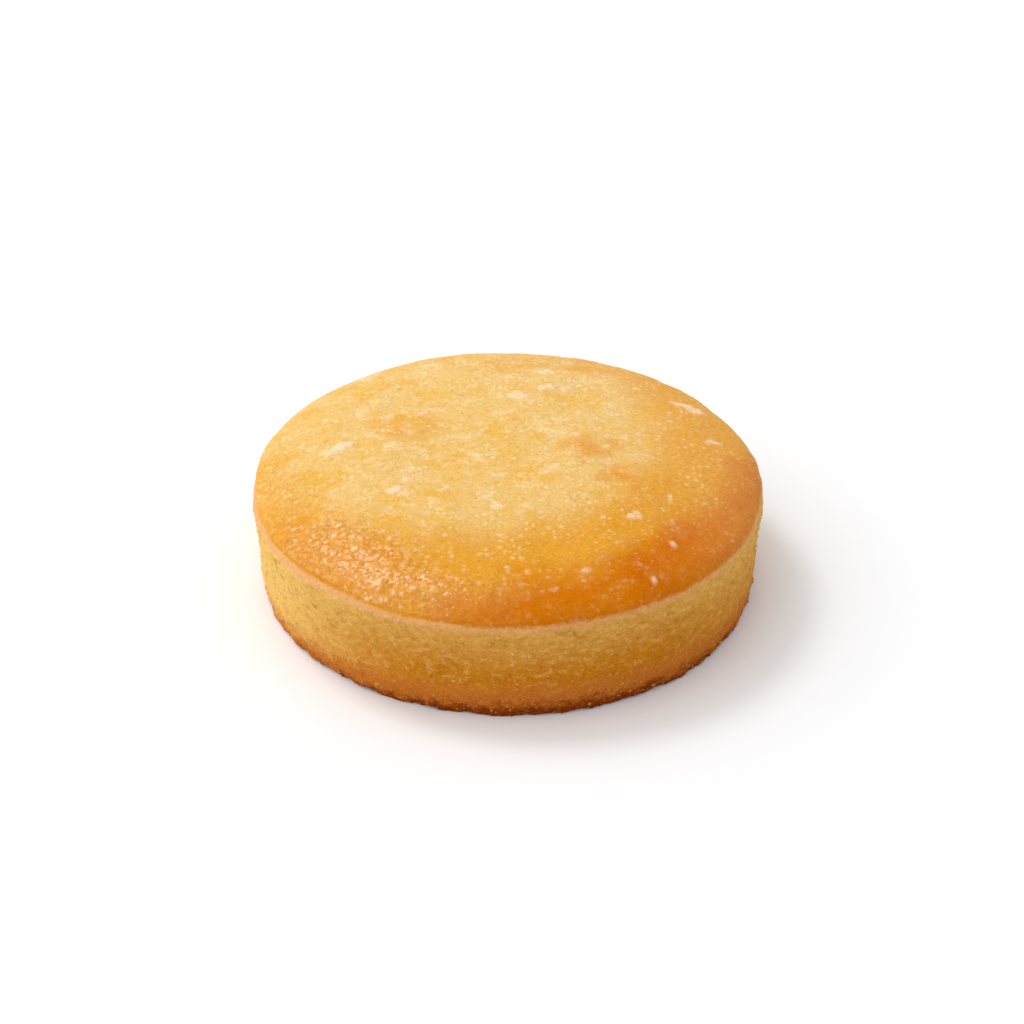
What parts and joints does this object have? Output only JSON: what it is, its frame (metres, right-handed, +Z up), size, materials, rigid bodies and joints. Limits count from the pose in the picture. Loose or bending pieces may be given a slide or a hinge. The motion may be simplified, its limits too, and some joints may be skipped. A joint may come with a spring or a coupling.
{
  "type": "lemon cake",
  "caption": "Low round individual lemon sponge cake, uncut, with a crumbly drafted side and a glazed, gently domed golden crust; stands flat on its base.",
  "frame": {"origin": "centre of the flat base, on the surface that the cake stands on", "axes": "+Z up through the crown; -Y is the side that faces the viewer"},
  "size_m": [0.1, 0.1, 0.028],
  "materials": {
    "baked_sponge": null
  },
  "bodies": {
    "root": {"cake": "baked_sponge"}
  },
  "joints": []
}
